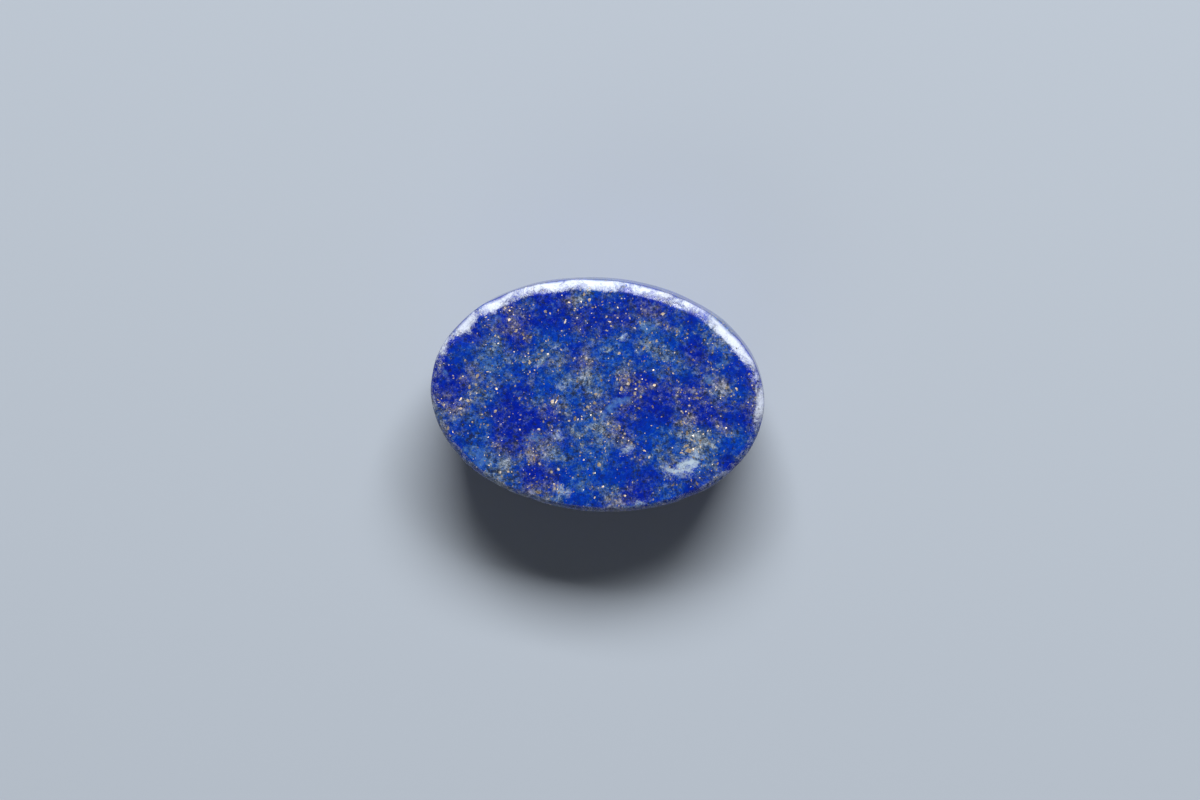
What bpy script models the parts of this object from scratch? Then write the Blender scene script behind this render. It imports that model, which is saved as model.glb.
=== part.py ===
"""A lapis lazuli cabochon: an oval gem with a flat back, a hand-rounded edge and a high polished dome.

It lies on the top of its dome, so the flat back faces up and is level. The origin is under its middle, at the
height of the surface that it lies on. Its length runs along X and its width along Y. Metres, +Z up.
"""

import math

import bmesh
import bpy

MM = 0.001

# The stone's outline, seen square on to its back
LENGTH = 18.0 * MM
WIDTH = 12.6 * MM
OUTLINE_FULLNESS = 2.06  # 2 is a true ellipse, and more fills out its four corners

# The dome, from the girdle, which is the widest line, to its top
DOME_DEPTH = 5.9 * MM
DOME_BREADTH = 2.4  # how far the flat of the top reaches towards the flanks, 2 as on a sphere
DOME_FLANK = 3.5  # how steeply the flanks leave the girdle, 2 as on a sphere
FOOT_SHARE = 0.12  # size of the small flat at the top of the dome, as a share of the outline

# The rounded edge between the flat back and the girdle, ground by hand and wider along one long side
EDGE_WIDTH_FAR = 0.58 * MM
EDGE_WIDTH_NEAR = 0.34 * MM
EDGE_DROP = 0.36 * MM
EDGE_FULLNESS = 1.4  # 2 is a quarter round and 1 is a flat bevel

# How finely the surface is faceted
CORNERS = 84
EDGE_RINGS = 5
DOME_RINGS = 17

# Colour and finish of the stone
LAZURITE_BLUE = (0.012, 0.040, 0.330, 1.0)
POLISH_ROUGHNESS = 0.25
SHARP_ANGLE = math.radians(35)  # edges that turn more than this are shaded sharp

BACK_HEIGHT = DOME_DEPTH + EDGE_DROP


def power(value, exponent):
    """Raises the size of a value and keeps its sign."""
    return math.copysign(abs(value) ** exponent, value)


def outline_point(turn):
    """The point of the girdle at a turn about Z, and the outward direction there."""
    along = power(math.cos(turn), 2 / OUTLINE_FULLNESS) * LENGTH / 2
    across = power(math.sin(turn), 2 / OUTLINE_FULLNESS) * WIDTH / 2
    slope_along = power(along / (LENGTH / 2), OUTLINE_FULLNESS - 1) / (LENGTH / 2)
    slope_across = power(across / (WIDTH / 2), OUTLINE_FULLNESS - 1) / (WIDTH / 2)
    steepness = math.hypot(slope_along, slope_across)
    return along, across, slope_along / steepness, slope_across / steepness


def edge_width(turn):
    """How wide the rounded edge is at a turn about Z: widest on the +Y side."""
    far_share = (1 + math.sin(turn)) / 2
    return EDGE_WIDTH_NEAR + (EDGE_WIDTH_FAR - EDGE_WIDTH_NEAR) * far_share


def ring_turns():
    return [2 * math.pi * place / CORNERS for place in range(CORNERS)]


def edge_ring(quarter):
    """A ring of the rounded edge, from the flat back at 0 to the girdle at 1."""
    inward_share = 1 - math.sin(quarter * math.pi / 2) ** (2 / EDGE_FULLNESS)
    drop_share = 1 - math.cos(quarter * math.pi / 2) ** (2 / EDGE_FULLNESS)
    height = BACK_HEIGHT - EDGE_DROP * drop_share
    points = []
    for turn in ring_turns():
        along, across, out_along, out_across = outline_point(turn)
        inward = edge_width(turn) * inward_share
        points.append((along - out_along * inward, across - out_across * inward, height))
    return points


def dome_ring(share):
    """A ring of the dome that is a share of the outline's size: 1 at the girdle and 0 at the top."""
    height = DOME_DEPTH * (1 - (1 - share**DOME_BREADTH) ** (1 / DOME_FLANK))
    outline = [outline_point(turn) for turn in ring_turns()]
    return [(along * share, across * share, height) for along, across, _, _ in outline]


def dome_shares():
    """Ring sizes from just under the girdle to the foot, closer together where the profile bends most."""
    foot_quarter = math.acos(FOOT_SHARE ** (DOME_BREADTH / 2))
    quarters = [foot_quarter * (place + 1) / DOME_RINGS for place in range(DOME_RINGS)]
    return [math.cos(quarter) ** (2 / DOME_BREADTH) for quarter in quarters]


def foot_ring():
    """The rim of the small flat that the stone lies on."""
    return [(along, across, 0.0) for along, across, _ in dome_ring(FOOT_SHARE)]


def add_loop(mesh, points):
    """Joins points into a closed loop of edges."""
    corners = [mesh.verts.new(point) for point in points]
    return [mesh.edges.new((corners[place - 1], corner)) for place, corner in enumerate(corners)]


def stone_mesh():
    """The whole stone: rings from the back, round the edge and down the dome, bridged and capped at both ends."""
    rings = [edge_ring(place / EDGE_RINGS) for place in range(EDGE_RINGS + 1)]
    rings += [dome_ring(share) for share in dome_shares()[:-1]]
    rings.append(foot_ring())

    mesh = bmesh.new()
    loops = [add_loop(mesh, ring) for ring in rings]
    for upper, lower in zip(loops, loops[1:]):
        bmesh.ops.bridge_loops(mesh, edges=upper + lower)
    for end in (loops[0], loops[-1]):
        bmesh.ops.edgeloop_fill(mesh, edges=end)
    bmesh.ops.recalc_face_normals(mesh, faces=mesh.faces)

    data = bpy.data.meshes.new("lapis_cabochon")
    mesh.to_mesh(data)
    mesh.free()
    return data


def lapis_material():
    material = bpy.data.materials.new("polished_lapis")
    material.use_nodes = True
    shader = material.node_tree.nodes["Principled BSDF"]
    shader.inputs["Base Color"].default_value = LAZURITE_BLUE
    shader.inputs["Roughness"].default_value = POLISH_ROUGHNESS
    shader.inputs["Metallic"].default_value = 0.0
    return material


def build():
    for thing in list(bpy.data.objects):
        bpy.data.objects.remove(thing)
    stone = bpy.data.objects.new("lapis_cabochon", stone_mesh())
    stone.data.materials.append(lapis_material())
    stone.data.shade_smooth()
    stone.data.set_sharp_from_angle(angle=SHARP_ANGLE)
    bpy.context.scene.collection.objects.link(stone)


build()
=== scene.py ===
# %% [markdown]
# # A lapis lazuli cabochon
#
# The stone is a loose oval gem. Its back was ground flat and left satin, its edge was rounded by hand, and
# its high dome was polished. Lapis is a rock and not a single crystal: blue lazurite, white calcite and
# gold pyrite have grown through one another, so one solid carries the whole pattern. It lies on the top of
# its dome with the back up.
#
# The imported model gives the size and the place of the stone, in metres. It is loaded first.

# %% Load the imported stone
import math

import bmesh
import bpy
from mathutils import Matrix, Vector


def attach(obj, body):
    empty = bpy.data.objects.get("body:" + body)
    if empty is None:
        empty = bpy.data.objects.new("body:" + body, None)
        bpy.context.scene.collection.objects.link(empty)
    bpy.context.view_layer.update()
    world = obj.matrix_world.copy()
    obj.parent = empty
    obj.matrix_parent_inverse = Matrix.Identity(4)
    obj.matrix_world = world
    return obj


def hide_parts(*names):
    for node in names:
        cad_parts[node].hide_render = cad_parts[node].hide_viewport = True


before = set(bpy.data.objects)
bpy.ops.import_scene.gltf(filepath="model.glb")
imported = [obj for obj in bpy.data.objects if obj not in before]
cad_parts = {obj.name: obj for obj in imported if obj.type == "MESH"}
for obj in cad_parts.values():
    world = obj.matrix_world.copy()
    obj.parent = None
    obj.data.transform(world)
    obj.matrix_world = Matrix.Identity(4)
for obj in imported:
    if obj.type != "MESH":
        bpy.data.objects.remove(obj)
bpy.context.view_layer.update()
MM_PER_METRE = 1000.0


print("nodes:", sorted(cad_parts))

# %% [markdown]
# ## Sizes
#
# The stone is modelled in millimetres, because Blender's tools are easier to steer with sizes near 1 than
# near 0.001, and it is brought to metres at the end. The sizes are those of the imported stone, so both have
# the same outline, the same dome and the same rounded edge.

# %% The stone's sizes in millimetres
LENGTH = 18.0
WIDTH = 12.6
DOME_DEPTH = 5.9
EDGE_DROP = 0.36  # height of the rounded edge, between the girdle and the flat back
BACK_HEIGHT = DOME_DEPTH + EDGE_DROP
METRES_PER_MM = 0.001
print("back at", BACK_HEIGHT, "mm above the floor")

# %% [markdown]
# ## Helpers for work in edit mode
#
# Every tool acts on what is selected. In the window that is done with the mouse, and here a short test on
# each corner takes its place: it gets the corner's position and says whether it is part of the work.


# %% Helpers for work in edit mode
def start_alone(thing):
    """Makes one object the only selected and active one."""
    bpy.ops.object.select_all(action="DESELECT")
    thing.select_set(True)
    bpy.context.view_layer.objects.active = thing


def select_corners(test):
    """In edit mode, selects the corners that pass the test, with the edges and faces between them."""
    bpy.ops.mesh.select_mode(type="VERT")
    bpy.ops.mesh.select_all(action="DESELECT")
    mesh = bmesh.from_edit_mesh(bpy.context.object.data)
    for corner in mesh.verts:
        corner.select = test(corner.co)
    mesh.select_flush(True)
    bmesh.update_edit_mesh(bpy.context.object.data)
    return sum(corner.select for corner in mesh.verts)


# %% [markdown]
# ## The girdle
#
# The girdle is the widest line of the stone, and every other surface starts from it. A circle could be
# scaled to an ellipse and left so, but a cutter's oval is a little fuller at its four corners than a true
# ellipse. The Cast modifier pulls a shape towards a box, and a very small share of it gives that fullness.

# %% The girdle
CORNERS_ROUND = 480
FULLNESS = 0.0244  # share of the way from an ellipse to a rectangle

bpy.ops.object.select_all(action="DESELECT")
bpy.ops.mesh.primitive_circle_add(vertices=CORNERS_ROUND, radius=1.0, fill_type="NOTHING")
stone = bpy.context.object
stone.name = "lapis_stone"
bpy.ops.transform.resize(value=(LENGTH / 2, WIDTH / 2, 1))
bpy.ops.object.transform_apply(location=False, rotation=False, scale=True)

fuller = stone.modifiers.new("fuller oval", "CAST")
fuller.cast_type = "CUBOID"
fuller.factor = FULLNESS
fuller.use_z = False
bpy.ops.object.modifier_apply(modifier=fuller.name)
bpy.ops.transform.translate(value=(0, 0, DOME_DEPTH))
bpy.ops.object.transform_apply(location=True, rotation=False, scale=False)
print("girdle:", [round(side, 2) for side in stone.dimensions])

# %% [markdown]
# ## The dome
#
# The dome hangs below the girdle. Half of a squashed ball would have flanks that lean in too early: this
# stone keeps as much of its material as it can, so its flanks leave the girdle steeply and its top is
# broad. The girdle is therefore extruded downwards in rings. Each ring is moved to its height and scaled to
# its share of the oval, both read from one profile, and the rings are spaced evenly along that profile.

# %% The dome's profile
BREADTH = 2.4  # how far the flat of the top reaches towards the flanks, 2 as on a ball
FLANK = 3.5  # how steeply the flanks leave the girdle, 2 as on a ball
FOOT_SHARE = 0.12  # size of the small flat that the stone lies on
RING_SPACING = 0.24  # distance between the rings along the profile, in mm
PROFILE_STEPS = 4000  # how finely the profile is walked to measure its length


def dome_profile():
    """Rings from the girdle to the foot, as pairs of a share of the oval and a height."""
    last = math.acos(FOOT_SHARE ** (BREADTH / 2))
    mean_radius = (LENGTH + WIDTH) / 4
    rings, gone, before = [], 0.0, (1.0, DOME_DEPTH)
    for place in range(1, PROFILE_STEPS + 1):
        turn = last * (place / PROFILE_STEPS) ** 2
        ring = (math.cos(turn) ** (2 / BREADTH), DOME_DEPTH * (1 - math.sin(turn) ** (2 / FLANK)))
        gone += math.hypot((ring[0] - before[0]) * mean_radius, ring[1] - before[1])
        before = ring
        if gone > RING_SPACING:
            rings.append(ring)
            gone = 0.0
    return rings + [(FOOT_SHARE, 0.0)]


print("dome:", len(dome_profile()), "rings")

# %% The dome
start_alone(stone)
bpy.ops.object.mode_set(mode="EDIT")
bpy.ops.mesh.select_mode(type="EDGE")
bpy.ops.mesh.select_all(action="SELECT")
share_now, height_now = 1.0, DOME_DEPTH
for share, height in dome_profile():
    bpy.ops.mesh.extrude_edges_move(TRANSFORM_OT_translate={"value": (0, 0, height - height_now)})
    bpy.ops.transform.resize(value=(share / share_now, share / share_now, 1))
    share_now, height_now = share, height
bpy.ops.mesh.edge_face_add()
print("dome: from", DOME_DEPTH, "mm down to", height_now, "mm")

# %% [markdown]
# ## The rounded edge
#
# Between the flat back and the girdle the edge was rounded on a grinding wheel, freehand, and so it is
# wider along one long side. A bevel would give the same width all round. The girdle is extruded upwards
# instead, ring by ring, and each ring is also slid a little sideways, which makes the edge wide on one side
# and narrow on the other.

# %% The rounded edge
EDGE_WIDTH = 0.46  # mean width in mm
EDGE_SHIFT = 0.12  # how far its inner line is slid towards -Y, in mm
EDGE_ROUNDNESS = 1.4  # 2 is a quarter round and 1 is a flat bevel
EDGE_RINGS = 8
SAME_HEIGHT = 0.001  # corners closer than this in height, in mm, are on one ring

select_corners(lambda co: abs(co.z - DOME_DEPTH) < SAME_HEIGHT)
bpy.ops.mesh.select_mode(type="EDGE")
inward_now, height_now = 0.0, DOME_DEPTH
for ring in range(1, EDGE_RINGS + 1):
    turn = math.pi / 2 * (1 - ring / EDGE_RINGS)
    inward = 1 - math.sin(turn) ** (2 / EDGE_ROUNDNESS)
    height = BACK_HEIGHT - EDGE_DROP * (1 - math.cos(turn) ** (2 / EDGE_ROUNDNESS))
    slide = EDGE_SHIFT * (inward_now - inward)
    bpy.ops.mesh.extrude_edges_move(TRANSFORM_OT_translate={"value": (0, slide, height - height_now)})
    along = (LENGTH / 2 - EDGE_WIDTH * inward) / (LENGTH / 2 - EDGE_WIDTH * inward_now)
    across = (WIDTH / 2 - EDGE_WIDTH * inward) / (WIDTH / 2 - EDGE_WIDTH * inward_now)
    bpy.ops.transform.resize(value=(along, across, 1))
    inward_now, height_now = inward, height
print("edge: rings up to", round(height_now, 3), "mm")

# %% [markdown]
# ## The flat back
#
# One large face would close the top, but the worn places of the edge need corners to move. Grid Fill lays a
# net of near squares inside the last ring, evenly spaced from side to side, which suits a flat ground
# surface.

# %% The flat back
BACK_ROWS = 112

bpy.ops.mesh.fill_grid(span=BACK_ROWS)
bpy.ops.mesh.select_all(action="SELECT")
bpy.ops.mesh.normals_make_consistent(inside=False)
bpy.ops.object.mode_set(mode="OBJECT")
print("closed stone:", len(stone.data.polygons), "faces")

# %% [markdown]
# ## Places where the edge was ground away
#
# The wheel took more at some places of the edge, and they show as short broad facets. Each could be cut
# with a plane, but that would leave sharp borders. A few corners of the edge are picked instead and pushed
# in and down with proportional editing, which takes the neighbours along less and less. The push always
# goes inwards, so the outline never grows.

# %% Places where the edge was ground away
WORN_PLACES = [  # along, across, reach, depth, in mm
    (6.75, 4.15, 1.25, 0.12),
    (7.95, 3.05, 0.95, 0.07),
    (8.55, 2.05, 0.60, 0.06),
    (3.90, 5.65, 0.70, 0.05),
    (2.45, 6.05, 0.90, 0.05),
    (-0.30, 6.25, 1.00, 0.05),
    (-2.60, 6.00, 0.95, 0.06),
    (-5.75, 4.80, 1.10, 0.10),
    (-7.55, 3.35, 1.05, 0.10),
    (-8.95, 0.40, 0.70, 0.06),
    (-7.20, -3.75, 0.60, 0.05),
    (-3.10, -5.90, 0.80, 0.05),
    (1.40, -6.20, 0.60, 0.04),
    (5.20, -5.10, 0.90, 0.06),
    (7.60, -3.30, 0.70, 0.06),
    (8.90, -0.90, 0.70, 0.05),
]
FROM_OUTLINE = 0.25  # how far inside the outline the push starts, in mm
ABOVE_GIRDLE = 0.05  # corners lower than this above the girdle stay, in mm
PICKED_SHARE = 0.2  # share of the reach in which corners are picked
INWARD_SHARE = 0.6  # how much of the depth also goes inwards

start_alone(stone)
bpy.ops.object.mode_set(mode="EDIT")
for along, across, reach, depth in WORN_PLACES:
    outward = Vector((along / (LENGTH / 2) ** 2, across / (WIDTH / 2) ** 2)).normalized()
    spot = Vector((along, across)) - outward * FROM_OUTLINE
    near = reach * PICKED_SHARE
    picked = select_corners(lambda co: co.z > DOME_DEPTH + ABOVE_GIRDLE and (co.xy - spot).length < near)
    push = (-outward.x * depth * INWARD_SHARE, -outward.y * depth * INWARD_SHARE, -depth)
    bpy.ops.transform.translate(value=push, use_proportional_edit=True, use_proportional_connected=True,
                                proportional_edit_falloff="SMOOTH", proportional_size=reach)
    print("worn place at", (along, across), "from", picked, "corners")
bpy.ops.object.mode_set(mode="OBJECT")

# %% [markdown]
# ## Traces of the hand
#
# Nothing made freehand is exact. A Displace modifier with cloud noise gives the edge its small waves and
# the dome the faint flats that a polishing wheel leaves. A vertex group holds each one to its own surface,
# and the middle level of 1 lets it only take material away. The foot stays as it is, because the stone
# rests on it.


# %% A modifier that wears the stone
def wear_with_noise(name, weight, grain, depth):
    """Takes away up to a depth, in a noise of that grain, where the weight is high. Sizes are in mm."""
    group = stone.vertex_groups.new(name=name)
    for corner in stone.data.vertices:
        group.add([corner.index], weight(corner.co), "REPLACE")
    noise = bpy.data.textures.new(name, "CLOUDS")
    noise.noise_scale = grain
    noise.noise_depth = 3
    wear = stone.modifiers.new(name, "DISPLACE")
    wear.texture = noise
    wear.texture_coords = "LOCAL"
    wear.vertex_group = group.name
    wear.mid_level = 1.0
    wear.strength = depth
    start_alone(stone)
    bpy.ops.object.modifier_apply(modifier=name)
    print(name, "took away up to", depth, "mm")


# %% Traces of the hand
def out_share_at(co):
    """How far out a place lies: 0 on the stone's axis and 1 on the girdle's oval."""
    return math.hypot(co.x / (LENGTH / 2), co.y / (WIDTH / 2))


def smooth_step(value, low, high):
    """Rises smoothly from 0 at low to 1 at high."""
    part = min(1.0, max(0.0, (value - low) / (high - low)))
    return part * part * (3 - 2 * part)


def edge_weight(co):
    """1 on the edge, falling to 0 a millimetre inside the outline and half a millimetre below the girdle."""
    return smooth_step(out_share_at(co), 0.87, 0.97) * smooth_step(co.z, DOME_DEPTH - 0.5, DOME_DEPTH)


def dome_weight(co):
    """1 on the dome, fading out at the foot and below the girdle."""
    return smooth_step(co.z, 0.02, 0.6) * (1 - smooth_step(co.z, DOME_DEPTH - 0.9, DOME_DEPTH - 0.1))


wear_with_noise("hand-ground edge", edge_weight, grain=0.85, depth=0.045)
wear_with_noise("hand-polished dome", dome_weight, grain=3.2, depth=0.10)

# %% [markdown]
# ## To metres, smooth shading and the fixed frame
#
# The finished stone is scaled from millimetres to metres about the origin, and the scale is applied, so its
# place is in its mesh. Smooth shading hides the facets. The stone then rides on the model's one body, and
# the imported solid is hidden.

# %% To metres, smooth shading and the fixed frame
SHARP_ANGLE = math.radians(50)  # edges that turn by more than this are shaded sharp

start_alone(stone)
bpy.ops.transform.resize(value=[METRES_PER_MM] * 3, center_override=(0, 0, 0))
bpy.ops.object.transform_apply(location=True, rotation=True, scale=True)
bpy.ops.object.shade_smooth_by_angle(angle=SHARP_ANGLE)
for group in list(stone.vertex_groups):
    stone.vertex_groups.remove(group)

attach(stone, "root")
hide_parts("lapis_cabochon")
print("stone in mm:", [round(side * MM_PER_METRE, 3) for side in stone.dimensions])

# %% [markdown]
# ## Lapis lazuli, cut and polished
#
# Lapis is an opaque rock with an index of refraction near 1.5. To the eye it is a deep ultramarine that is
# clouded with grey, veined with pale blue and dusted with gold, under a glassy or satin skin. A picture
# could be wrapped on the stone, but it would stretch on the flanks and end at the seam. The pattern is made
# of noises in the stone's own space instead, so the same cloud runs from the back over the edge and down
# the dome, as it would on a real cut stone.
#
# Colours are written as a colour picker shows them, in sRGB, and turned to the linear light that shaders
# count in. One small function adds a node, gives it its settings and joins its inputs, so that each line of
# the material reads as one step of a recipe.

# %% The material and its helpers
lapis = bpy.data.materials.new("cut_and_polished_lapis_lazuli")
lapis.use_nodes = True
tree = lapis.node_tree
tree.nodes.clear()


def linear(hex_colour):
    """Turns an sRGB colour such as "1f4d96" to linear red, green, blue and alpha."""
    shares = [int(hex_colour[place:place + 2], 16) / 255 for place in (0, 2, 4)]
    return [s / 12.92 if s <= 0.04045 else ((s + 0.055) / 1.055) ** 2.4 for s in shares] + [1.0]


def add(kind, inputs=None, stops=None, **settings):
    """Adds a node. inputs has each input's value or the output joined to it, and stops a ramp's colours."""
    made = tree.nodes.new(kind)
    for name, value in settings.items():
        setattr(made, name, value)
    for name, value in (inputs or {}).items():
        if isinstance(value, bpy.types.NodeSocket):
            tree.links.new(value, made.inputs[name])
        else:
            made.inputs[name].default_value = value
    if stops:
        ramp = made.color_ramp
        while len(ramp.elements) < len(stops):
            ramp.elements.new(1.0)
        for element, (place, colour_there) in zip(ramp.elements, stops):
            element.position = place
            element.color = linear(colour_there)
    return made


print("helpers for", lapis.name)

# %% [markdown]
# ## The stone's own space, bent and frayed
#
# Object coordinates are in metres, and they are scaled to millimetres, so every size below can be read with
# a ruler in mind. Natural borders are never round. Before any pattern is read, the place is therefore
# pushed about by two noises: one bends whole clouds, and a finer one frays their borders.

# %% The stone's own space, bent and frayed
BEND_PER_MM, BEND_REACH = 0.9, 0.8  # swells 1.1 mm across, which push by up to 0.4 mm either way
FRAY_PER_MM, FRAY_REACH = 4.5, 0.35  # swells 0.22 mm across, which push by less than 0.2 mm either way

place_m = add("ShaderNodeTexCoord").outputs["Object"]
place_mm = add("ShaderNodeVectorMath", {0: place_m, "Scale": MM_PER_METRE}, operation="SCALE").outputs[0]


def pushed(place, per_mm, reach):
    """The place pushed about by a noise with that many swells to the millimetre, over a whole reach in mm."""
    noise = add("ShaderNodeTexNoise", {"Vector": place_mm, "Scale": per_mm, "Detail": 2.0})
    both_ways = add("ShaderNodeVectorMath", {0: noise.outputs["Color"], 1: (0.5, 0.5, 0.5)},
                    operation="SUBTRACT").outputs[0]
    push_mm = add("ShaderNodeVectorMath", {0: both_ways, "Scale": reach}, operation="SCALE").outputs[0]
    return add("ShaderNodeVectorMath", {0: place, 1: push_mm}, operation="ADD").outputs[0]


bent = pushed(place_mm, BEND_PER_MM, BEND_REACH)
frayed = pushed(bent, FRAY_PER_MM, FRAY_REACH)
print("bent over", BEND_REACH, "mm and frayed over", FRAY_REACH, "mm")

# %% [markdown]
# ## Where the minerals lie
#
# Noise alone gives a believable rock but never this rock. The larger markings of the stone are therefore
# placed one by one, as soft ellipsoids in the frayed space: a Mapping node puts the ellipsoid at its place,
# size and turn, and a spherical gradient fades it from its middle outwards. They are gathered by kind. Each
# has faded out one to three millimetres below the back, where the noise takes over.


# %% Markings by kind
DEEPER = 0.6  # how much deeper than half its width a marking reaches into the stone, in mm


def markings(kind, rows):
    """The sum of soft ellipsoids. A row has a place, half sizes, a turn in degrees and a strength."""
    total = None
    for along, across, half_length, half_width, turn, strength in rows:
        spot = add("ShaderNodeMapping", {
            "Vector": frayed,
            "Location": (along, across, BACK_HEIGHT),
            "Rotation": (0, 0, math.radians(turn)),
            "Scale": (half_length, half_width, DEEPER + half_width),
        }, vector_type="TEXTURE")
        fade = add("ShaderNodeTexGradient", {"Vector": spot.outputs[0]}, gradient_type="SPHERICAL")
        inputs = {0: fade.outputs["Fac"], 1: strength, 2: total if total else 0.0}
        total = add("ShaderNodeMath", inputs, operation="MULTIPLY_ADD").outputs[0]
    print(kind, "in", len(rows), "places")
    return total


# %% Pure lazurite: smooth, deep and saturated
deep_blue = markings("deep blue", [
    (-6.5, 3.9, 1.0, 0.7, 20, 1.0),
    (-3.3, 5.1, 1.6, 0.8, 10, 1.0),
    (-4.2, 2.7, 1.2, 1.0, 0, 1.0),
    (-7.8, 1.5, 1.0, 1.2, 0, 1.0),
    (1.4, 5.5, 1.9, 0.8, -8, 1.1),
    (3.8, 4.6, 1.4, 1.3, -20, 1.0),
    (5.2, 4.8, 1.2, 0.8, -30, 1.1),
    (6.4, 2.6, 1.3, 1.2, -30, 0.9),
    (7.6, 1.8, 1.2, 1.4, -20, 1.1),
    (4.8, 1.4, 1.1, 0.8, 0, 0.8),
    (1.0, 2.2, 1.1, 0.8, 0, 0.5),
    (-1.1, 2.6, 0.9, 0.9, 0, 0.8),
    (5.2, 3.0, 1.3, 1.5, 0, 0.6),
    (-2.7, 0.1, 1.2, 0.9, 10, 0.9),
    (-4.9, -0.4, 0.9, 0.8, 0, 0.9),
    (-3.5, -1.4, 2.0, 0.9, -5, 1.1),
    (-0.7, -0.9, 0.8, 0.6, 0, 0.8),
    (3.1, -0.9, 1.5, 1.3, 20, 1.1),
    (6.8, -0.6, 1.5, 0.9, 10, 1.0),
    (7.5, -2.0, 1.0, 2.0, -15, 1.0),
    (2.7, -2.0, 1.3, 0.8, -30, 0.7),
    (-3.0, -4.3, 1.5, 0.9, 0, 1.0),
    (1.0, -4.3, 3.0, 0.8, 0, 1.0),
    (-0.6, -5.7, 1.4, 0.8, 0, 1.0),
    (-7.6, -2.1, 0.8, 0.8, 0, 0.7),
    (4.6, -5.0, 1.6, 0.7, 10, 0.7),
    (0.6, 0.9, 1.0, 0.8, 0, 0.4),
])

# %% Fine grey intergrowth of calcite, diopside and pyrite: hazy and grainy
haze = markings("grey haze", [
    (-4.5, 4.0, 0.9, 0.7, 0, 0.8),
    (-1.4, 5.3, 0.9, 0.7, 0, 0.9),
    (-1.2, 4.2, 1.5, 1.3, -20, 0.6),
    (2.6, 3.0, 1.0, 0.7, 0, 0.9),
    (3.5, 2.8, 1.2, 0.9, 0, 0.7),
    (-3.8, 1.7, 1.3, 0.8, -20, 0.8),
    (-2.4, 1.6, 1.0, 0.7, 0, 0.5),
    (-0.9, 0.9, 1.4, 1.3, 0, 0.8),
    (1.7, 0.9, 1.1, 0.8, 0, 0.7),
    (3.8, 0.6, 2.0, 0.8, 5, 0.7),
    (6.4, 1.0, 1.2, 1.0, 0, 0.7),
    (5.0, -1.0, 1.0, 0.8, 0, 0.9),
    (5.6, -2.1, 0.9, 1.3, 0, 0.8),
    (3.8, -2.4, 0.9, 0.8, 0, 0.6),
    (0.1, -1.2, 0.8, 0.8, 0, 0.8),
    (-0.7, -1.9, 1.0, 0.6, 30, 0.9),
    (-2.2, -3.0, 1.9, 1.0, 5, 0.9),
    (1.0, -1.9, 1.1, 0.7, -20, 0.5),
    (0.9, -3.6, 1.0, 0.5, 0, 0.4),
    (-6.7, 0.3, 0.9, 1.3, 0, 0.8),
    (-6.4, 2.2, 0.9, 0.8, 0, 0.6),
    (-7.0, -1.2, 1.4, 1.0, 0, 0.6),
    (-4.6, -4.2, 1.4, 1.2, -30, 0.8),
    (-2.2, -5.3, 1.3, 0.7, 0, 0.8),
    (1.9, -5.4, 1.4, 0.7, 0, 0.7),
])

# %% [markdown]
# ## How grey each place is
#
# The main cloud is a noise whose small swells are nearly as strong as its large ones, which is what makes
# lapis look grainy at every distance. The placed haze is added to it, the placed deep blue is taken from
# it, and a finer noise breaks both up into grains.

# %% How grey each place is
CLOUDS_PER_MM = 0.55  # clouds about 1.8 mm across
GRAINS_PER_MM = 3.2  # grains of 0.3 mm, which the noise's detail splits down to 0.02 mm
HAZE_STRENGTH = 0.40
DEEP_BLUE_STRENGTH = -0.36
GRAIN_STRENGTH = 2.4

cloud = add("ShaderNodeTexNoise", {
    "Vector": frayed, "Scale": CLOUDS_PER_MM, "Detail": 6.0, "Roughness": 0.80,
}).outputs["Fac"]
greyness = add("ShaderNodeMapRange", {
    "Value": cloud, "From Min": 0.36, "From Max": 0.64, "To Min": -0.16, "To Max": 0.84,
}, clamp=False).outputs[0]
greyness = add("ShaderNodeMath", {0: haze, 1: HAZE_STRENGTH, 2: greyness},
               operation="MULTIPLY_ADD").outputs[0]
greyness = add("ShaderNodeMath", {0: deep_blue, 1: DEEP_BLUE_STRENGTH, 2: greyness},
               operation="MULTIPLY_ADD").outputs[0]
grain = add("ShaderNodeTexNoise", {
    "Vector": place_mm, "Scale": GRAINS_PER_MM, "Detail": 4.0, "Roughness": 0.85,
}).outputs["Fac"]
grain_both_ways = add("ShaderNodeMath", {0: grain, 1: 0.5}, operation="SUBTRACT").outputs[0]
greyness = add("ShaderNodeMath", {0: grain_both_ways, 1: GRAIN_STRENGTH, 2: greyness},
               operation="MULTIPLY_ADD").outputs[0]
print("clouds of", round(1 / CLOUDS_PER_MM, 1), "mm and grains of", round(1 / GRAINS_PER_MM, 1), "mm")

# %% [markdown]
# ## The blue and the haze
#
# The greyness is read through two ramps from deep ultramarine to grey. One ramp leans to azure and one to
# violet, because the blue of lapis changes from place to place, and a slow noise chooses between them. One
# ramp alone would make the stone look printed.

# %% The blue and the haze
LEANS_PER_MM = 0.42  # the blue changes its lean about every 2.4 mm

azure_side = add("ShaderNodeValToRGB", {"Fac": greyness}, stops=[
    (0.00, "0031a0"), (0.20, "043e9c"), (0.42, "234b94"),
    (0.62, "445f8e"), (0.82, "5d6e88"), (1.00, "7f8a99"),
]).outputs["Color"]
violet_side = add("ShaderNodeValToRGB", {"Fac": greyness}, stops=[
    (0.00, "001a92"), (0.20, "082692"), (0.42, "28378a"),
    (0.62, "474d84"), (0.82, "605f7e"), (1.00, "858190"),
]).outputs["Color"]
lean = add("ShaderNodeTexNoise", {"Vector": bent, "Scale": LEANS_PER_MM, "Detail": 3.0}).outputs["Fac"]
violet_share = add("ShaderNodeMapRange", {"Value": lean, "From Min": 0.40, "From Max": 0.60}).outputs[0]

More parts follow.
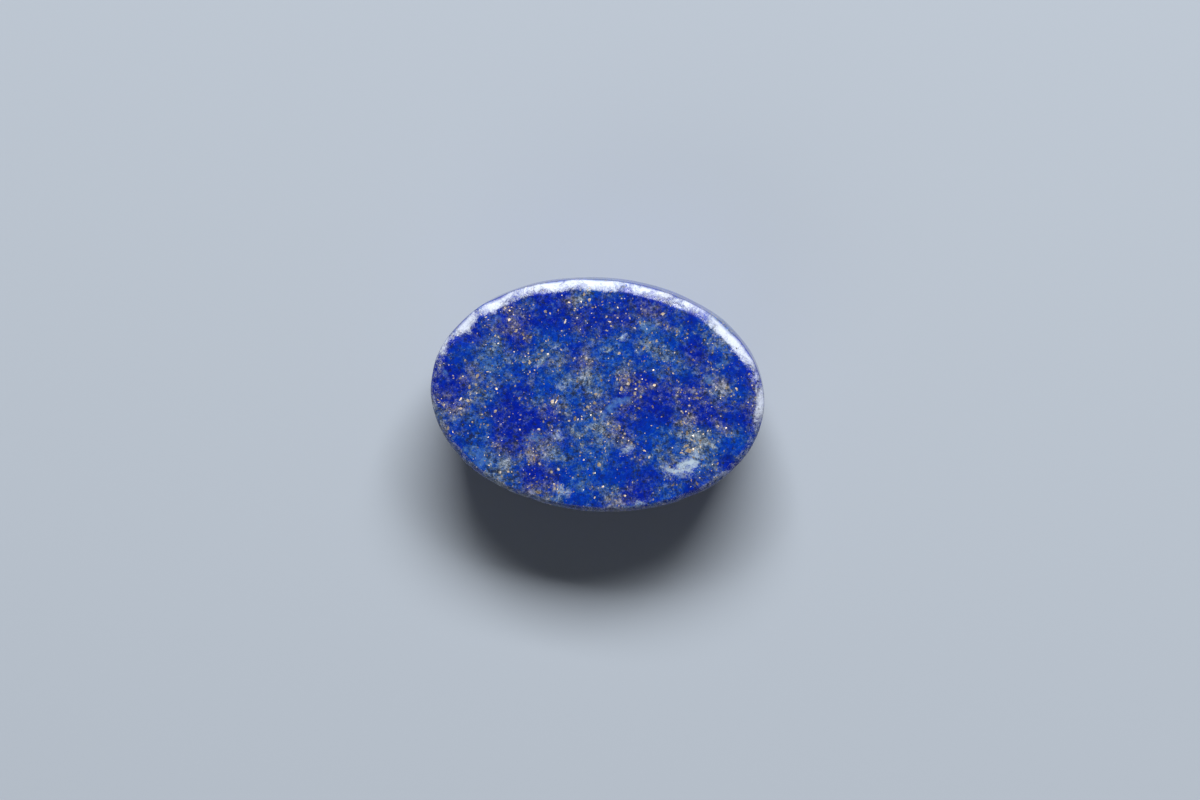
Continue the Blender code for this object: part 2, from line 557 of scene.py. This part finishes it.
# A Mix node set to colour takes its factor at input 0 and its colours at inputs 6 and 7, and gives output 2.
colour = add("ShaderNodeMix", {0: violet_share, 6: azure_side, 7: violet_side}, data_type="RGBA").outputs[2]
print("two ramps, leaning to azure and to violet")

# %% [markdown]
# ## Light and dark grains
#
# Seen close, each cloud is made of grains a tenth of a millimetre across, some paler and some nearly black.
# A fine noise brightens and darkens the colour, a little in pure lazurite and strongly in the grey haze.

# %% Light and dark grains
FINE_GRAINS_PER_MM = 5.2  # grains of 0.2 mm, which the noise's detail splits down to 0.02 mm
MEAN_BRIGHTNESS = 1.06

fine_grain = add("ShaderNodeTexNoise", {
    "Vector": place_mm, "Scale": FINE_GRAINS_PER_MM, "Detail": 3.0, "Roughness": 0.9,
}).outputs["Fac"]
contrast = add("ShaderNodeMapRange", {
    "Value": greyness, "From Min": 0.0, "From Max": 0.8, "To Min": 2.2, "To Max": 6.4,
}).outputs[0]
fine_both_ways = add("ShaderNodeMath", {0: fine_grain, 1: 0.5}, operation="SUBTRACT").outputs[0]
brightness = add("ShaderNodeMath", {0: fine_both_ways, 1: contrast, 2: MEAN_BRIGHTNESS},
                 operation="MULTIPLY_ADD").outputs[0]
brightness = add("ShaderNodeClamp", {"Value": brightness, "Min": 0.30, "Max": 2.2}).outputs[0]
colour = add("ShaderNodeVectorMath", {0: colour, "Scale": brightness}, operation="SCALE").outputs[0]
print("fine grains of", round(1 / FINE_GRAINS_PER_MM, 1), "mm and less")

# %% Dark grains
DARK_GRAINS_PER_MM = 4.2  # dark grains about 0.24 mm across
NEARLY_BLACK = linear("1a2238")
DARK_LIFT = 0.16  # how much a dark place lifts the noise

dark_places = markings("dark grains", [
    (-4.4, -2.8, 0.6, 0.6, 0, 0.9),
    (-6.6, -2.7, 0.7, 0.6, 0, 1.0),
    (-0.7, 0.4, 0.7, 0.6, 0, 0.8),
    (-5.4, -4.4, 0.8, 0.5, -30, 1.0),
    (-4.1, -4.8, 0.6, 0.5, 0, 0.8),
    (3.6, 2.7, 0.7, 0.6, 0, 0.6),
    (4.4, -1.1, 0.6, 0.5, 0, 0.8),
    (-1.4, -3.2, 0.6, 0.5, 0, 0.7),
    (-1.6, 4.9, 0.6, 0.5, 0, 0.6),
    (1.4, -2.2, 0.8, 0.5, -20, 0.6),
])
dark_grain = add("ShaderNodeTexNoise", {
    "Vector": place_mm, "Scale": DARK_GRAINS_PER_MM, "Detail": 3.0, "Roughness": 0.7,
}).outputs["Fac"]
dark_sum = add("ShaderNodeMath", {0: dark_places, 1: DARK_LIFT, 2: dark_grain},
               operation="MULTIPLY_ADD").outputs[0]
dark_share = add("ShaderNodeMapRange", {
    "Value": dark_sum, "From Min": 0.55, "From Max": 0.66, "To Max": 0.82,
}).outputs[0]
colour = add("ShaderNodeMix", {0: dark_share, 6: colour, 7: NEARLY_BLACK}, data_type="RGBA").outputs[2]

# %% [markdown]
# ## Azure and veins
#
# Where calcite is mixed finely into lazurite, the blue turns pale and milky, in patches and in one slanting
# vein across the middle of the back. The placed pale blue lifts a noise over a threshold, so its borders
# come out ragged, and it is laid on a little see-through.

# %% Azure and veins
MILKY_PER_MM = 1.6  # milky swells about 0.6 mm across
MILKY_BLUE = linear("5482c2")
AZURE_LIFT = 0.30  # how much a pale place lifts the noise

azure_places = markings("azure", [
    (-2.6, -5.9, 1.6, 0.4, -8, 0.8),
    (4.6, -5.3, 1.8, 0.4, 20, 0.6),
    (-3.1, -2.6, 1.2, 0.6, 10, 0.9),
    (-6.1, -3.7, 1.2, 0.7, -20, 1.0),
    (2.4, 3.9, 0.9, 0.7, 0, 0.9),
    (-5.8, 3.8, 0.9, 0.6, 0, 0.5),
    (1.2, -0.4, 1.9, 0.45, 32, 0.9),
    (-0.1, 2.6, 0.7, 1.0, 0, 0.6),
    (5.9, 1.4, 0.6, 0.4, 0, 0.9),
    (-5.7, 1.2, 1.3, 1.1, 0, 0.5),
    (0.7, -3.0, 0.9, 0.6, 0, 0.6),
    (-0.7, -4.8, 0.8, 0.5, 0, 0.6),
    (2.4, -5.8, 1.4, 0.4, 8, 0.8),
    (-8.3, 0.6, 0.5, 0.6, 0, 0.8),
    (5.9, -3.5, 0.9, 0.8, 0, 0.6),
    (-0.2, -6.1, 2.6, 0.3, 0, 0.5),
    (6.5, 2.6, 0.8, 0.9, 0, 0.4),
])
milky = add("ShaderNodeTexNoise", {
    "Vector": frayed, "Scale": MILKY_PER_MM, "Detail": 4.0, "Roughness": 0.75,
}).outputs["Fac"]
azure_sum = add("ShaderNodeMath", {0: azure_places, 1: AZURE_LIFT, 2: milky},
                operation="MULTIPLY_ADD").outputs[0]
azure_share = add("ShaderNodeMapRange", {
    "Value": azure_sum, "From Min": 0.60, "From Max": 0.84, "To Max": 0.75,
}).outputs[0]
colour = add("ShaderNodeMix", {0: azure_share, 6: colour, 7: MILKY_BLUE}, data_type="RGBA").outputs[2]

# %% [markdown]
# ## Calcite
#
# Where calcite stands alone it is nearly white: one cloud of it lies near the narrow side of the edge, and
# the rest are small spots. They are made as the azure is, with a finer noise, because calcite grows in
# small crystals.

# %% Calcite
CRYSTALS_PER_MM = 3.0  # crystals about 0.3 mm across
CALCITE_WHITE = linear("c3d6e4")
CALCITE_LIFT = 0.34  # how much a white place lifts the noise

calcite_places = markings("calcite", [
    (4.7, -3.7, 1.3, 0.8, 15, 1.0),
    (5.2, -3.2, 0.7, 0.5, 40, 1.0),
    (4.2, -3.6, 0.5, 0.3, 0, 0.7),
    (-1.9, -2.2, 0.6, 0.5, 0, 1.0),
    (-1.9, 0.4, 0.6, 0.4, 0, 0.8),
    (1.2, 3.3, 0.5, 0.4, 0, 1.1),
    (-4.5, 4.0, 0.5, 0.4, 0, 0.7),
    (2.1, 4.1, 0.5, 0.4, 0, 0.7),
    (2.5, 3.1, 0.5, 0.3, 0, 0.9),
    (-1.5, -5.3, 0.8, 0.5, 0, 1.0),
    (1.8, -2.7, 0.5, 0.4, 0, 0.8),
    (-2.4, 2.4, 0.4, 0.4, 0, 0.7),
    (5.6, -1.6, 0.4, 0.5, 0, 0.9),
    (5.2, 0.7, 0.3, 0.25, 0, 0.9),
    (5.4, -2.6, 0.6, 0.3, 0, 0.9),
    (-6.7, -0.2, 0.35, 0.3, 0, 1.0),
    (-3.3, 1.4, 0.5, 0.5, 0, 0.6),
    (2.6, -5.6, 0.6, 0.4, 0, 0.8),
])
crystals = add("ShaderNodeTexNoise", {
    "Vector": frayed, "Scale": CRYSTALS_PER_MM, "Detail": 4.0, "Roughness": 0.9,
}).outputs["Fac"]
calcite_sum = add("ShaderNodeMath", {0: calcite_places, 1: CALCITE_LIFT, 2: crystals},
                  operation="MULTIPLY_ADD").outputs[0]
calcite_share = add("ShaderNodeMapRange", {
    "Value": calcite_sum, "From Min": 0.64, "From Max": 0.92, "To Max": 0.85,
}).outputs[0]
colour = add("ShaderNodeMix", {0: calcite_share, 6: colour, 7: CALCITE_WHITE}, data_type="RGBA").outputs[2]

# %% [markdown]
# ## Pyrite
#
# Pyrite is a brassy metal. Its grains here are mostly under 0.2 mm across, and each lies at its own angle,
# so under one light some glint and most stay dull. Small spheres could be scattered in the mesh, but the
# grains were ground flat with the rock and don't stand out. A Voronoi pattern gives them: each cell holds
# one, its random colour decides whether the grain is there and how large it is, and the same colour tilts
# it.


# %% Grains of pyrite in a Voronoi pattern
GRAIN_BORDER = 0.015  # width of a grain's soft border, in mm
LARGE_SIZE = 0.6  # how far a cell's chance is above the scarcity where its grain has the given radius


def pyrite_grains(cell, large_radius, scarce):
    """How much of each place is pyrite, and the tilt of its grain. The cell and the radius are in mm."""
    cells = add("ShaderNodeTexVoronoi", {"Vector": bent, "Scale": 1 / cell, "Randomness": 1.0})
    chance = add("ShaderNodeSeparateColor", {"Color": cells.outputs["Color"]}).outputs["Red"]
    size = add("ShaderNodeMath", {0: chance, 1: scarce}, operation="SUBTRACT").outputs[0]
    per_size = large_radius / cell / LARGE_SIZE
    radius = add("ShaderNodeMath", {0: size, 1: per_size}, operation="MULTIPLY").outputs[0]
    inside = add("ShaderNodeMath", {0: radius, 1: cells.outputs["Distance"]}, operation="SUBTRACT").outputs[0]
    share = add("ShaderNodeMapRange", {
        "Value": inside, "From Min": 0.0, "From Max": GRAIN_BORDER / cell,
    }).outputs[0]
    return share, cells.outputs["Color"]


# %% Where pyrite is common
SCARCITY = 0.50  # share of the cells without a grain in pure lazurite
LESS_IN_PLACES, LESS_IN_GREY = -0.22, -0.30  # how much less scarce it is in these

pyrite_places = markings("pyrite", [
    (-0.8, 4.9, 1.3, 0.9, -30, 1.0),
    (0.2, -3.6, 1.3, 0.6, 0, 1.0),
    (5.2, -2.6, 1.0, 0.6, 0, 1.0),
    (-3.0, -5.0, 1.2, 0.7, 0, 0.8),
    (-1.6, -5.1, 1.0, 0.7, 0, 0.8),
    (-3.6, 1.7, 1.6, 0.9, -20, 0.9),
    (2.0, 0.8, 1.6, 0.8, 0, 0.8),
    (4.4, 0.4, 1.2, 0.7, 0, 0.7),
    (-6.6, 0.0, 1.5, 1.3, 0, 0.8),
    (6.6, 0.7, 1.0, 0.9, 0, 0.7),
    (5.1, -1.0, 0.9, 0.8, 0, 0.7),
    (2.6, 2.9, 1.2, 0.8, 0, 0.7),
    (-5.6, -1.4, 1.6, 0.9, 0, 0.5),
    (0.9, -2.2, 1.4, 0.8, 0, 0.7),
])
scarcity = add("ShaderNodeMath", {0: pyrite_places, 1: LESS_IN_PLACES, 2: SCARCITY},
               operation="MULTIPLY_ADD").outputs[0]
scarcity = add("ShaderNodeMath", {0: greyness, 1: LESS_IN_GREY, 2: scarcity},
               operation="MULTIPLY_ADD").outputs[0]

# %% Pyrite laid into the rock
COARSE_CELL, COARSE_RADIUS = 0.34, 0.085  # in mm
FINE_CELL, FINE_RADIUS = 0.17, 0.052  # in mm

coarse_share, coarse_tilt = pyrite_grains(COARSE_CELL, COARSE_RADIUS, scarcity)
fine_share, fine_tilt = pyrite_grains(FINE_CELL, FINE_RADIUS, scarcity)
pyrite_share = add("ShaderNodeMath", {0: coarse_share, 1: fine_share}, operation="MAXIMUM").outputs[0]
pyrite_tint = add("ShaderNodeValToRGB", {"Fac": grain}, stops=[
    (0.38, "94836f"), (0.50, "cbb497"), (0.62, "f4e6d2"),
]).outputs["Color"]
colour = add("ShaderNodeMix", {0: pyrite_share, 6: colour, 7: pyrite_tint}, data_type="RGBA").outputs[2]
print("large grains of", COARSE_RADIUS, "mm radius among fine ones of", FINE_RADIUS, "mm")

# %% The lie and the metal of each grain
GRAIN_TILT = 0.9  # grains lean by about 20 degrees, and the steepest by about 50
METAL_SHARE = 0.50  # ground pyrite is scratched, so it is only half as metallic as a clean face

tilt = add("ShaderNodeMix", {0: coarse_share, 6: fine_tilt, 7: coarse_tilt}, data_type="RGBA").outputs[2]
tilt = add("ShaderNodeVectorMath", {0: tilt, 1: (0.5, 0.5, 0.5)}, operation="SUBTRACT").outputs[0]
tilt = add("ShaderNodeVectorMath", {0: tilt, "Scale": GRAIN_TILT}, operation="SCALE").outputs[0]
tilt = add("ShaderNodeVectorMath", {0: tilt, "Scale": pyrite_share}, operation="SCALE").outputs[0]
metal = add("ShaderNodeMath", {0: pyrite_share, 1: METAL_SHARE}, operation="MULTIPLY").outputs[0]
print("grains lean at random")

# %% [markdown]
# ## Frost on the ground edge, and a painted highlight
#
# The back was ground and left satin, the edge was ground coarser and is frosted, and the dome was polished.
# Frosting is a skin of tiny cracks that scatter white light, so it is both paler and rougher than the rock
# under it. Three things decide where it lies: how far the surface turns down from the flat back, how near
# it is to the outline, and listed places along the long side that faces the back softbox. There the pale
# colour is partly real frost and partly a painted highlight of that light, and the side away from it gets
# little. A rough noise then tears its inner border.

# %% Where the edge is
BACK_FACES_UP, EDGE_FACES_UP = 0.995, 0.93  # upward share of the surface's direction on each

height_mm = add("ShaderNodeSeparateXYZ", {0: place_mm}).outputs["Z"]
facing = add("ShaderNodeNewGeometry").outputs["Normal"]
facing_up = add("ShaderNodeSeparateXYZ", {0: facing}).outputs["Z"]
above_girdle = add("ShaderNodeMapRange", {
    "Value": height_mm, "From Min": DOME_DEPTH - 0.10, "From Max": DOME_DEPTH + 0.06,
}).outputs[0]
turned_down = add("ShaderNodeMapRange", {
    "Value": facing_up, "From Min": BACK_FACES_UP, "From Max": EDGE_FACES_UP,
}).outputs[0]
ground_edge = add("ShaderNodeMath", {0: above_girdle, 1: turned_down}, operation="MULTIPLY").outputs[0]
print("the edge starts where the back turns down by more than",
      round(math.degrees(math.acos(BACK_FACES_UP))), "degrees")

# %% Frost on the ground edge, with a painted highlight on the lit side
FROST_PER_MM = 2.6  # tears about 0.4 mm across
# pale frost colour; on the side facing the back softbox it also paints that light's highlight
FROST_AND_HIGHLIGHT_WHITE = linear("d6deee")
EDGE_LIFT, OUTLINE_LIFT, PLACE_LIFT = 0.10, 0.05, 0.34  # how much each of the three lifts the noise

frost_noise = add("ShaderNodeTexNoise", {
    "Vector": frayed, "Scale": FROST_PER_MM, "Detail": 5.0, "Roughness": 0.95,
}).outputs["Fac"]
oval_place = add("ShaderNodeVectorMath", {0: frayed, 1: (2 / LENGTH, 2 / WIDTH, 0)},
                 operation="MULTIPLY").outputs[0]
out_share = add("ShaderNodeVectorMath", {0: oval_place}, operation="LENGTH").outputs["Value"]
near_outline = add("ShaderNodeMapRange", {"Value": out_share, "From Min": 0.88, "From Max": 0.99}).outputs[0]
# listed along the long side that faces the back softbox: partly real frost, partly a painted highlight
frost_and_highlight_places = markings("frost_and_highlight", [
    (6.8, 4.1, 1.5, 1.0, -38, 1.4),
    (8.0, 2.9, 1.3, 0.7, -52, 1.2),
    (8.7, 1.9, 0.6, 0.5, -60, 0.7),
    (8.85, 0.2, 0.5, 1.4, 0, 1.1),
    (4.4, 5.5, 1.9, 0.6, -20, 1.0),
    (2.3, 6.05, 1.6, 0.6, -8, 1.2),
    (-0.4, 6.25, 1.9, 0.75, 0, 1.4),
    (-2.8, 5.95, 1.5, 0.7, 8, 1.2),
    (-4.4, 5.4, 1.2, 0.5, 20, 0.9),
    (-5.8, 4.7, 1.2, 0.8, 30, 1.4),
    (-7.5, 3.4, 1.3, 0.8, 40, 1.3),
    (-8.5, 2.0, 0.9, 0.4, 65, 0.8),
])
frost_and_highlight = add("ShaderNodeMath", {0: ground_edge, 1: EDGE_LIFT, 2: frost_noise},
            operation="MULTIPLY_ADD").outputs[0]
frost_and_highlight = add("ShaderNodeMath", {0: near_outline, 1: OUTLINE_LIFT, 2: frost_and_highlight},
            operation="MULTIPLY_ADD").outputs[0]
frost_and_highlight = add("ShaderNodeMath", {0: frost_and_highlight_places, 1: PLACE_LIFT, 2: frost_and_highlight},
            operation="MULTIPLY_ADD").outputs[0]
frost_and_highlight = add("ShaderNodeMapRange", {
    "Value": frost_and_highlight, "From Min": 0.64, "From Max": 0.88, "To Max": 0.92,
}).outputs[0]
frost_and_highlight = add("ShaderNodeMath", {0: frost_and_highlight, 1: above_girdle}, operation="MULTIPLY").outputs[0]
# lays on the frost colour, strongest where the light falls, so it is partly a painted highlight
colour = add("ShaderNodeMix", {0: frost_and_highlight, 6: colour, 7: FROST_AND_HIGHLIGHT_WHITE}, data_type="RGBA").outputs[2]

# %% [markdown]
# ## Gloss
#
# Roughness falls from the frosted edge over the satin back to the polished dome. Three materials on three
# sets of faces would show a line where they meet, so one value is blended by height instead. It also varies
# a little with the grain, because the minerals don't take the same polish.

# %% Gloss
SATIN_ROUGHNESS = 0.20, 0.30  # the least and the most, from grain to grain
POLISHED_ROUGHNESS = 0.07, 0.12
FROSTED_ROUGHNESS = 0.48
PYRITE_ROUGHNESS = 0.42

dome_share = add("ShaderNodeMapRange", {
    "Value": height_mm, "From Min": DOME_DEPTH + 0.02, "From Max": DOME_DEPTH - 0.25,
}).outputs[0]
satin = add("ShaderNodeMapRange", {
    "Value": grain, "From Min": 0.35, "From Max": 0.65,
    "To Min": SATIN_ROUGHNESS[0], "To Max": SATIN_ROUGHNESS[1],
}).outputs[0]
polish = add("ShaderNodeMapRange", {
    "Value": grain, "From Min": 0.35, "From Max": 0.65,
    "To Min": POLISHED_ROUGHNESS[0], "To Max": POLISHED_ROUGHNESS[1],
}).outputs[0]
# A Mix node set to float takes its two values at inputs 2 and 3.
roughness = add("ShaderNodeMix", {0: dome_share, 2: satin, 3: polish}, data_type="FLOAT").outputs[0]
roughness = add("ShaderNodeMix", {0: frost_and_highlight, 2: roughness, 3: FROSTED_ROUGHNESS}, data_type="FLOAT").outputs[0]
roughness = add("ShaderNodeMix", {0: pyrite_share, 2: roughness, 3: PYRITE_ROUGHNESS},
                data_type="FLOAT").outputs[0]
print("roughness from", POLISHED_ROUGHNESS[0], "on the dome to", FROSTED_ROUGHNESS, "on the frosted edge")

# %% [markdown]
# ## Relief of the grit
#
# The relief is far finer than any shape of the stone, so it is a bump and not geometry: the marks of the
# grinding grit on the back, a coarser grain on the frosted edge, and next to nothing on the polish. A fine
# grit leaves marks of about 0.01 mm, too fine to show, so they are drawn ten times as coarse.

# %% Relief of the grit
GRIT_PER_MM = 9.0
SATIN_GRIT, POLISHED_GRIT, FROST_GRIT = 0.006, 0.0006, 0.03  # depths in mm

grit = add("ShaderNodeTexNoise", {
    "Vector": place_mm, "Scale": GRIT_PER_MM, "Detail": 3.0, "Roughness": 0.7,
}).outputs["Fac"]
depth_mm = add("ShaderNodeMix", {0: dome_share, 2: SATIN_GRIT, 3: POLISHED_GRIT},
               data_type="FLOAT").outputs[0]
depth_mm = add("ShaderNodeMath", {0: frost_and_highlight, 1: FROST_GRIT, 2: depth_mm}, operation="MULTIPLY_ADD").outputs[0]
relief_mm = add("ShaderNodeMath", {0: grit, 1: depth_mm}, operation="MULTIPLY").outputs[0]
relief = add("ShaderNodeBump", {"Height": relief_mm, "Distance": METRES_PER_MM, "Strength": 1.0}).outputs[0]
leaning = add("ShaderNodeVectorMath", {0: relief, 1: tilt}, operation="ADD").outputs[0]
normal = add("ShaderNodeVectorMath", {0: leaning}, operation="NORMALIZE").outputs[0]
print("grit", SATIN_GRIT, "mm deep on the back and", FROST_GRIT, "mm more in the frost")

# %% [markdown]
# ## The finished rock
#
# One Principled shader takes the colour, the metal of the pyrite, the gloss and the relief. Its index of
# refraction is that of lazurite.

# %% The finished rock
LAZURITE_IOR = 1.5

rock = add("ShaderNodeBsdfPrincipled", {
    "Base Color": colour, "Metallic": metal, "Roughness": roughness, "Normal": normal, "IOR": LAZURITE_IOR,
})
add("ShaderNodeOutputMaterial", {"Surface": rock.outputs[0]})
stone.data.materials.clear()
stone.data.materials.append(lapis)
print("material of", len(tree.nodes), "nodes")

# %% [markdown]
# ## Floor
#
# The stone lies on a wide floor of pale matt paint, rolled on: to the eye it is even, and it mirrors next
# to nothing. It shows the stone's shadow and throws light up under the dome. A plane is enough, because
# only its top is seen, and it is part of the stage and not of the object.

# %% Floor
FLOOR_SIZE = 8.0  # in metres, so that its border is far away
FLOOR_ROUGHNESS = 0.8

bpy.ops.object.select_all(action="DESELECT")
bpy.ops.mesh.primitive_plane_add(size=FLOOR_SIZE, location=(0, 0, 0))
floor = bpy.context.object
floor.name = "floor"
paint = bpy.data.materials.new("pale_matt_paint")
paint.use_nodes = True
paint_shader = paint.node_tree.nodes["Principled BSDF"]
paint_shader.inputs["Base Color"].default_value = linear("b2bbc6")
paint_shader.inputs["Roughness"].default_value = FLOOR_ROUGHNESS
floor.data.materials.append(paint)
print("floor:", FLOOR_SIZE, "m wide")

# %% [markdown]
# ## Light
#
# One long softbox stands behind the stone, raised so that it slants over the flat back and shines on the
# rounded edge that faces it. A light overhead would wash the back out, because the back mirrors the ceiling
# towards the camera, so the room is dim and the blue stays deep. A large weak light in front opens the
# shadows.


# %% Light
def softbox(name, azimuth, elevation, distance, width, height, radiance):
    """A lit panel that faces the stone. Azimuth is from +Y towards +X, and the panel's width is level."""
    turn, rise = math.radians(azimuth), math.radians(elevation)
    level = math.cos(rise)
    towards = Vector((math.sin(turn) * level, math.cos(turn) * level, math.sin(rise)))
    bpy.ops.object.light_add(type="AREA", location=towards * distance)
    panel = bpy.context.object
    panel.name = name
    panel.rotation_euler = towards.to_track_quat("Z", "Y").to_euler()
    panel.data.shape = "RECTANGLE"
    panel.data.size, panel.data.size_y = width, height
    panel.data.energy = radiance * math.pi * width * height
    print(name, "of", round(panel.data.energy, 2), "W")


softbox("back_softbox", azimuth=6, elevation=42, distance=0.75, width=0.52, height=0.22, radiance=25.0)
softbox("front_fill", azimuth=200, elevation=28, distance=1.1, width=0.9, height=0.5, radiance=0.9)

# %% The dim room
ROOM_LIGHT = 0.05

room = bpy.data.worlds.new("dim_room")
bpy.context.scene.world = room
room.use_nodes = True
room_light = room.node_tree.nodes["Background"]
room_light.inputs["Color"].default_value = linear("e8eef6")
room_light.inputs["Strength"].default_value = ROOM_LIGHT
print("room light", ROOM_LIGHT)

# %% [markdown]
# ## Camera
#
# The camera looks down on the flat back, nine degrees off its normal and turned a little about its own
# axis, from a little over a quarter of a metre away. It could be turned by eye, but its three axes are
# worked out here, so that the oval comes out at the right slant. Standard colours keep the blue as deep as
# it is written.

# %% Camera
towards_camera = Vector((0.0646, 0.1469, 0.987)).normalized()
aim = Vector((-0.004, -0.623, 3.1)) * METRES_PER_MM
camera_distance = 0.281  # from there, in metres
roll = math.radians(3.83)

level_up = (Vector((0, 1, 0)) - towards_camera * towards_camera.y).normalized()
level_right = level_up.cross(towards_camera)
up = level_up * math.cos(roll) - level_right * math.sin(roll)
right = level_right * math.cos(roll) + level_up * math.sin(roll)
turned = Matrix((right, up, towards_camera)).transposed()

bpy.ops.object.camera_add(location=aim + towards_camera * camera_distance, rotation=turned.to_euler())
camera = bpy.context.object
camera.data.lens = 155.5  # a long lens, whose picture is 13 degrees wide
camera.data.sensor_width = 36.0
camera.data.clip_start = 0.01
bpy.context.scene.camera = camera
bpy.context.scene.view_settings.view_transform = "Standard"
print("camera", round(camera_distance * MM_PER_METRE), "mm from the stone")
